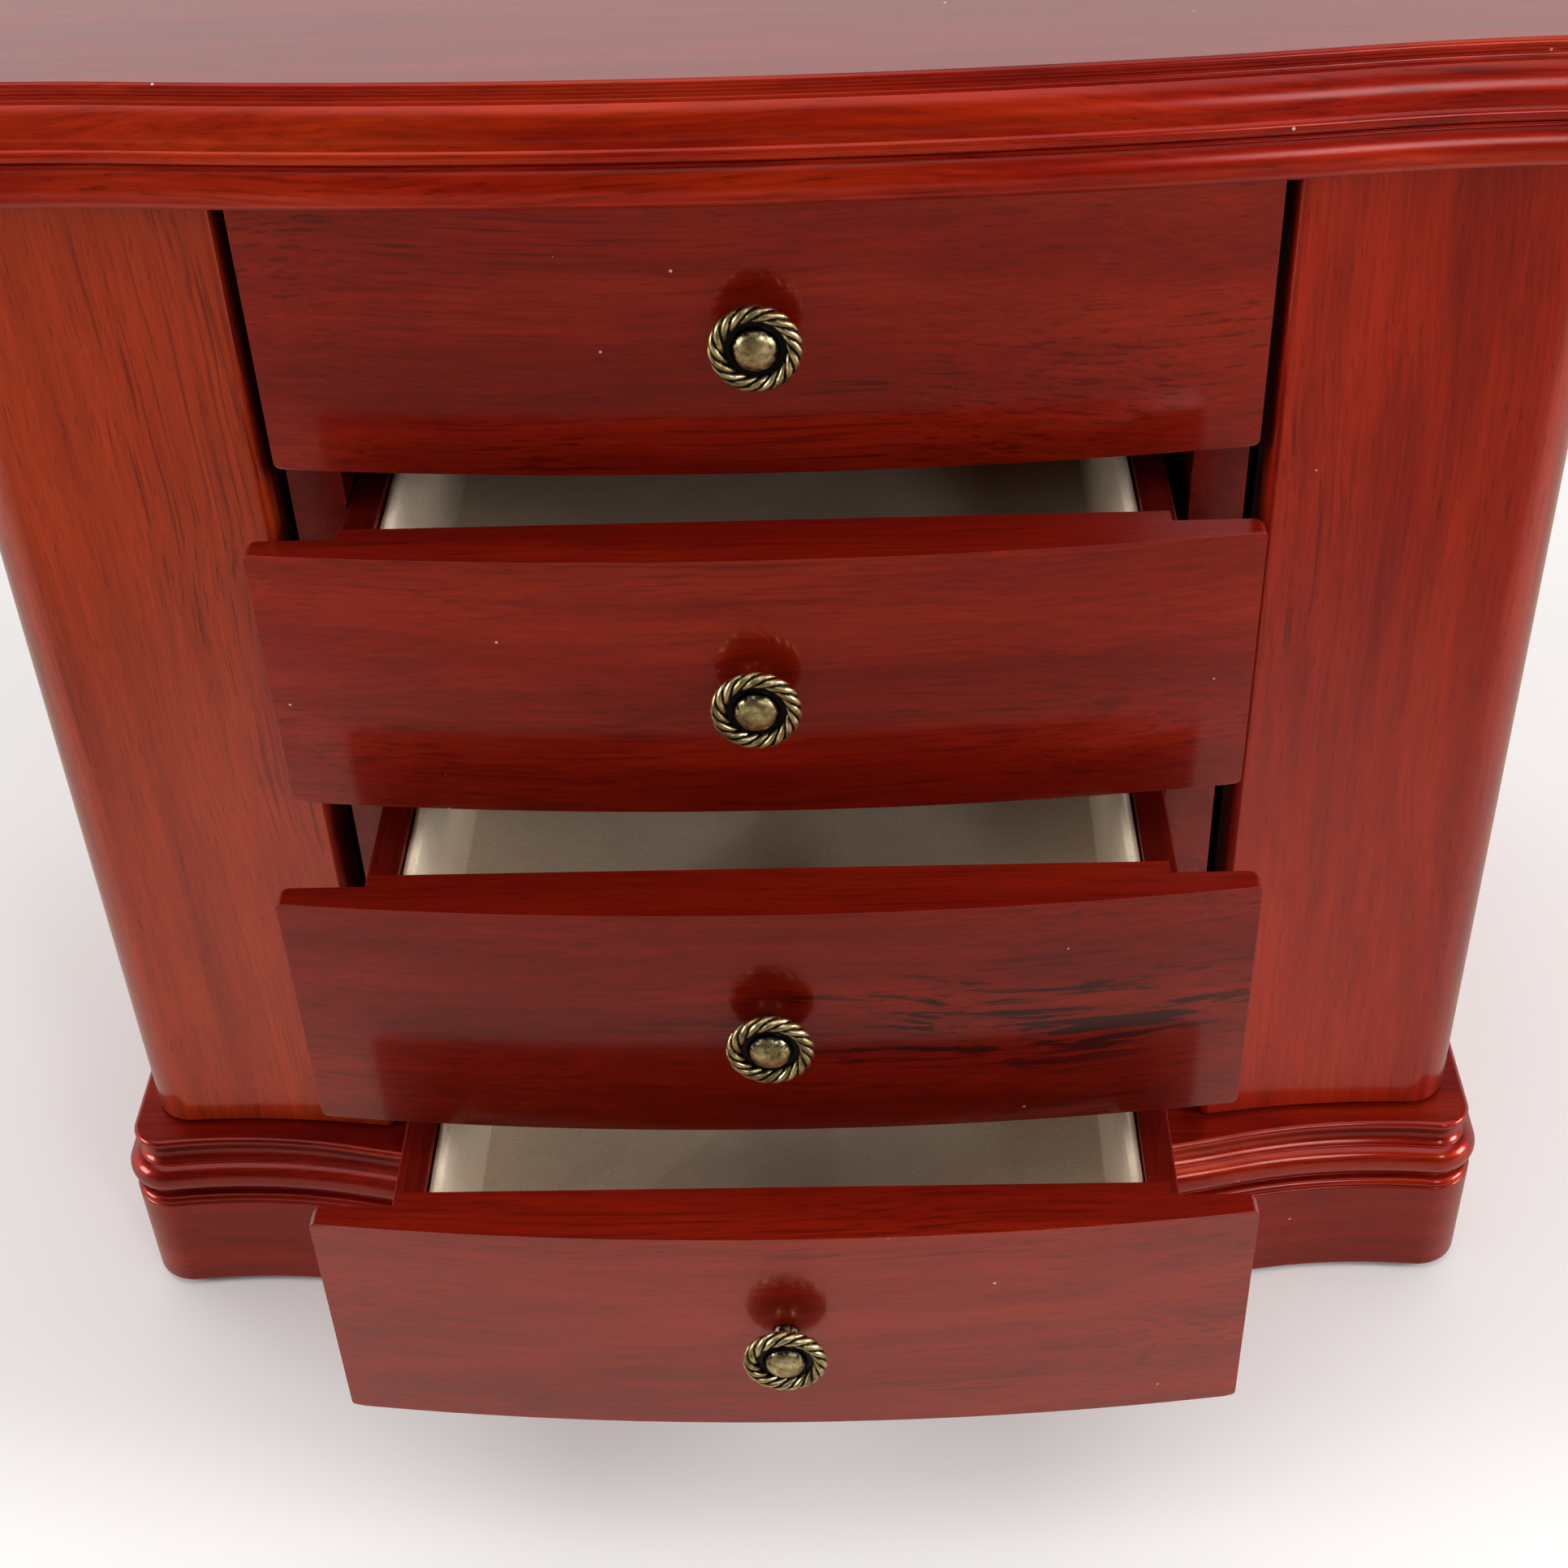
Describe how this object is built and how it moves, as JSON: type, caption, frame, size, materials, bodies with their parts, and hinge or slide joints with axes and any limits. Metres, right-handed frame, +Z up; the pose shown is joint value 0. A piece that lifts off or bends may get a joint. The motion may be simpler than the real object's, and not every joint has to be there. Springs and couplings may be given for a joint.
{
  "type": "jewellery chest",
  "caption": "Serpentine-front jewellery chest with bow-fronted drawers on cast knobs, side necklace doors, a hinged moulded lid over a lined ring tray and a moulded base.",
  "frame": {"origin": "middle of the underside, on the face that rests on the table", "axes": "+Z up, +X to the viewer's right, drawers open towards -Y"},
  "size_m": [0.336, 0.3008, 0.3185],
  "materials": {
    "felt": "matte felt",
    "moulding_wood": "stained and lacquered cherry-red wood, satin gloss",
    "drawer_front_wood": "dark maroon stained veneer, horizontal grain, satin gloss",
    "door_wood": "orange-red stained veneer, vertical grain, satin gloss",
    "inner_wood": "dark maroon stain, thin lacquer",
    "ivory_velvet": "short ivory velvet",
    "antique_brass": "cast brass with black patina in the recesses",
    "brass": "plated brass",
    "steel": "zinc-plated steel",
    "magnet": "dark magnet case",
    "mirror": "silvered glass"
  },
  "bodies": {
    "carcass": {"felt_base": "felt", "base_plinth": "moulding_wood", "bottom_panel": "inner_wood", "base_board": "moulding_wood", "back_panel": "door_wood", "left_partition": "inner_wood", "right_partition": "inner_wood", "drawer_runners": "inner_wood", "top_frame": "moulding_wood", "ring_tray": "inner_wood", "tray_lining": "ivory_velvet", "ring_rolls": "ivory_velvet", "bay_linings": "ivory_velvet", "door_magnets": "magnet", "fixed_hinge_leaves": "brass", "hinge_pins": "brass", "fixed_hinge_screws": "brass"},
    "left_door": {"left_door_stile": "door_wood", "left_door_panel": "door_wood", "left_door_lining": "ivory_velvet", "left_necklace_rail": "inner_wood", "left_necklace_hooks": "brass", "left_door_pouch": "ivory_velvet", "left_strike_plate": "steel", "left_hinge_leaves": "brass", "left_hinge_screws": "brass"},
    "right_door": {"right_door_stile": "door_wood", "right_door_panel": "door_wood", "right_door_lining": "ivory_velvet", "right_necklace_rail": "inner_wood", "right_necklace_hooks": "brass", "right_door_pouch": "ivory_velvet", "right_strike_plate": "steel", "right_hinge_leaves": "brass", "right_hinge_screws": "brass"},
    "lid": {"lid_board": "moulding_wood", "lid_mirror": "mirror", "lid_lining": "ivory_velvet", "lid_hinge_leaves": "brass", "lid_hinge_screws": "brass"},
    "drawer_1": {"drawer_1_front": "drawer_front_wood", "drawer_1_box": "inner_wood", "drawer_1_lining": "ivory_velvet", "drawer_1_knob": "antique_brass", "drawer_1_screw": "steel"},
    "drawer_2": {"drawer_2_front": "drawer_front_wood", "drawer_2_box": "inner_wood", "drawer_2_lining": "ivory_velvet", "drawer_2_knob": "antique_brass", "drawer_2_screw": "steel"},
    "drawer_3": {"drawer_3_front": "drawer_front_wood", "drawer_3_box": "inner_wood", "drawer_3_lining": "ivory_velvet", "drawer_3_knob": "antique_brass", "drawer_3_screw": "steel"},
    "drawer_4": {"drawer_4_front": "drawer_front_wood", "drawer_4_box": "inner_wood", "drawer_4_lining": "ivory_velvet", "drawer_4_knob": "antique_brass", "drawer_4_screw": "steel"}
  },
  "joints": [
    {"name": "drawer_1_slide", "type": "slide", "parent": "carcass", "child": "drawer_1", "axis": [0, -1, 0], "range_m": [0, 0.11]},
    {"name": "drawer_2_slide", "type": "slide", "parent": "carcass", "child": "drawer_2", "axis": [0, -1, 0], "range_m": [-0.0263, 0.0837]},
    {"name": "drawer_3_slide", "type": "slide", "parent": "carcass", "child": "drawer_3", "axis": [0, -1, 0], "range_m": [-0.0545, 0.0555]},
    {"name": "drawer_4_slide", "type": "slide", "parent": "carcass", "child": "drawer_4", "axis": [0, -1, 0], "range_m": [-0.0816, 0.0284]},
    {"name": "lid_hinge", "type": "hinge", "parent": "carcass", "child": "lid", "pos_m": [0, 0.113, 0.30585], "axis": [-1, 0, 0], "range_deg": [0, 100]},
    {"name": "left_door_hinge", "type": "hinge", "parent": "carcass", "child": "left_door", "pos_m": [-0.15, 0.111, 0.174], "axis": [0, 0, -1], "range_deg": [0, 110]},
    {"name": "right_door_hinge", "type": "hinge", "parent": "carcass", "child": "right_door", "pos_m": [0.15, 0.111, 0.174], "axis": [0, 0, 1], "range_deg": [0, 110]}
  ]
}
